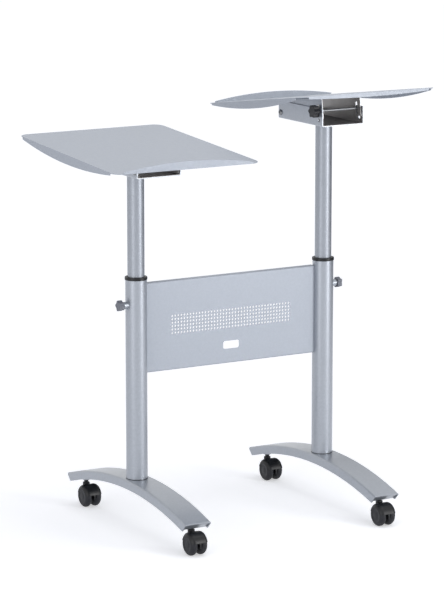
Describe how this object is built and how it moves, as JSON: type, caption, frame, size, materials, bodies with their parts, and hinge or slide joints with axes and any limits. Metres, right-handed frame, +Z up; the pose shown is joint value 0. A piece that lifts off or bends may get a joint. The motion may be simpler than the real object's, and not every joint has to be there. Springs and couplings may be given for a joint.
{
  "type": "multimedia table",
  "caption": "Mobile multimedia table with telescopic columns, a laptop shelf and a tilting projector shelf, a perforated cross panel and arched feet on twin-wheel castors.",
  "frame": {"origin": "on the floor, midway between the two columns", "axes": "+Z up, +X along the panel towards the projector shelf, -Y towards the person at the laptop"},
  "size_m": [0.848, 0.5606, 0.9718],
  "materials": {
    "silver_paint": "satin silver-grey powder coat",
    "black_plastic": "black moulded plastic, semi-matt",
    "wheel_plastic": "black nylon wheels, semi-matt",
    "knob_plastic": "black moulded grip, semi-matt",
    "grey_plastic": "grey moulded grip, semi-matt",
    "zinc_steel": "bright zinc plate"
  },
  "bodies": {
    "base": {"foot_left": "silver_paint", "foot_right": "silver_paint", "outer_tube_left": "silver_paint", "outer_tube_right": "silver_paint", "guide_collar_left": "black_plastic", "guide_collar_right": "black_plastic", "panel": "silver_paint"},
    "column_left": {"inner_tube_left": "silver_paint", "lower_bracket_left": "silver_paint", "tilt_pivot_left": "zinc_steel", "tilt_rod_left": "zinc_steel"},
    "clamp_left": {"clamp_screw_left": "zinc_steel", "clamp_knob_left": "grey_plastic"},
    "laptop_tray": {"laptop_shelf": "silver_paint", "saddle_left": "silver_paint"},
    "tilt_grip_left": {"tilt_knob_left": "knob_plastic"},
    "castor_front_left": {"castor_front_left": "black_plastic"},
    "wheel_front_left_a": {"wheel_front_left_a": "wheel_plastic"},
    "wheel_front_left_b": {"wheel_front_left_b": "wheel_plastic"},
    "castor_rear_left": {"castor_rear_left": "black_plastic"},
    "wheel_rear_left_a": {"wheel_rear_left_a": "wheel_plastic"},
    "wheel_rear_left_b": {"wheel_rear_left_b": "wheel_plastic"},
    "column_right": {"inner_tube_right": "silver_paint", "lower_bracket_right": "silver_paint", "tilt_pivot_right": "zinc_steel", "tilt_rod_right": "zinc_steel"},
    "clamp_right": {"clamp_screw_right": "zinc_steel", "clamp_knob_right": "grey_plastic"},
    "projector_tray": {"projector_shelf": "silver_paint", "saddle_right": "silver_paint"},
    "tilt_grip_right": {"tilt_knob_right": "knob_plastic"},
    "castor_front_right": {"castor_front_right": "black_plastic"},
    "wheel_front_right_a": {"wheel_front_right_a": "wheel_plastic"},
    "wheel_front_right_b": {"wheel_front_right_b": "wheel_plastic"},
    "castor_rear_right": {"castor_rear_right": "black_plastic"},
    "wheel_rear_right_a": {"wheel_rear_right_a": "wheel_plastic"},
    "wheel_rear_right_b": {"wheel_rear_right_b": "wheel_plastic"}
  },
  "joints": [
    {"name": "column_slide_left", "type": "slide", "parent": "base", "child": "column_left", "axis": [0, 0, 1], "range_m": [-0.225, 0.1]},
    {"name": "clamp_turn_left", "type": "hinge", "parent": "base", "child": "clamp_left", "pos_m": [-0.284, 0, 0.511], "axis": [-1, 0, 0], "range_deg": [-360, 0]},
    {"name": "tilt_left", "type": "hinge", "parent": "column_left", "child": "laptop_tray", "pos_m": [-0.244, -0.097, 0.822], "axis": [1, 0, 0], "range_deg": [-0.5, 7.5]},
    {"name": "tilt_grip_turn_left", "type": "hinge", "parent": "column_left", "child": "tilt_grip_left", "pos_m": [-0.1805, 0.06, 0.842], "axis": [1, 0, 0], "range_deg": [-360, 0]},
    {"name": "castor_swivel_front_left", "type": "hinge", "parent": "base", "child": "castor_front_left", "pos_m": [-0.244, -0.2425, 0.06], "axis": [0, 0, 1], "continuous": true},
    {"name": "wheel_roll_front_left_a", "type": "hinge", "parent": "castor_front_left", "child": "wheel_front_left_a", "pos_m": [-0.2595, -0.2585, 0.025], "axis": [1, 0, 0], "continuous": true},
    {"name": "wheel_roll_front_left_b", "type": "hinge", "parent": "castor_front_left", "child": "wheel_front_left_b", "pos_m": [-0.2285, -0.2585, 0.025], "axis": [1, 0, 0], "continuous": true},
    {"name": "castor_swivel_rear_left", "type": "hinge", "parent": "base", "child": "castor_rear_left", "pos_m": [-0.244, 0.2425, 0.06], "axis": [0, 0, 1], "continuous": true},
    {"name": "wheel_roll_rear_left_a", "type": "hinge", "parent": "castor_rear_left", "child": "wheel_rear_left_a", "pos_m": [-0.2595, 0.2265, 0.025], "axis": [1, 0, 0], "continuous": true},
    {"name": "wheel_roll_rear_left_b", "type": "hinge", "parent": "castor_rear_left", "child": "wheel_rear_left_b", "pos_m": [-0.2285, 0.2265, 0.025], "axis": [1, 0, 0], "continuous": true},
    {"name": "column_slide_right", "type": "slide", "parent": "base", "child": "column_right", "axis": [0, 0, 1], "range_m": [-0.29, 0.04]},
    {"name": "clamp_turn_right", "type": "hinge", "parent": "base", "child": "clamp_right", "pos_m": [0.284, 0, 0.511], "axis": [1, 0, 0], "range_deg": [-360, 0]},
    {"name": "tilt_right", "type": "hinge", "parent": "column_right", "child": "projector_tray", "pos_m": [0.244, 0.097, 0.899], "axis": [-1, 0, 0], "range_deg": [-4.5, 3.5]},
    {"name": "tilt_grip_turn_right", "type": "hinge", "parent": "column_right", "child": "tilt_grip_right", "pos_m": [0.1805, -0.06, 0.919], "axis": [-1, 0, 0], "range_deg": [-360, 0]},
    {"name": "castor_swivel_front_right", "type": "hinge", "parent": "base", "child": "castor_front_right", "pos_m": [0.244, -0.2425, 0.06], "axis": [0, 0, 1], "continuous": true},
    {"name": "wheel_roll_front_right_a", "type": "hinge", "parent": "castor_front_right", "child": "wheel_front_right_a", "pos_m": [0.2285, -0.2585, 0.025], "axis": [1, 0, 0], "continuous": true},
    {"name": "wheel_roll_front_right_b", "type": "hinge", "parent": "castor_front_right", "child": "wheel_front_right_b", "pos_m": [0.2595, -0.2585, 0.025], "axis": [1, 0, 0], "continuous": true},
    {"name": "castor_swivel_rear_right", "type": "hinge", "parent": "base", "child": "castor_rear_right", "pos_m": [0.244, 0.2425, 0.06], "axis": [0, 0, 1], "continuous": true},
    {"name": "wheel_roll_rear_right_a", "type": "hinge", "parent": "castor_rear_right", "child": "wheel_rear_right_a", "pos_m": [0.2285, 0.2265, 0.025], "axis": [1, 0, 0], "continuous": true},
    {"name": "wheel_roll_rear_right_b", "type": "hinge", "parent": "castor_rear_right", "child": "wheel_rear_right_b", "pos_m": [0.2595, 0.2265, 0.025], "axis": [1, 0, 0], "continuous": true}
  ]
}
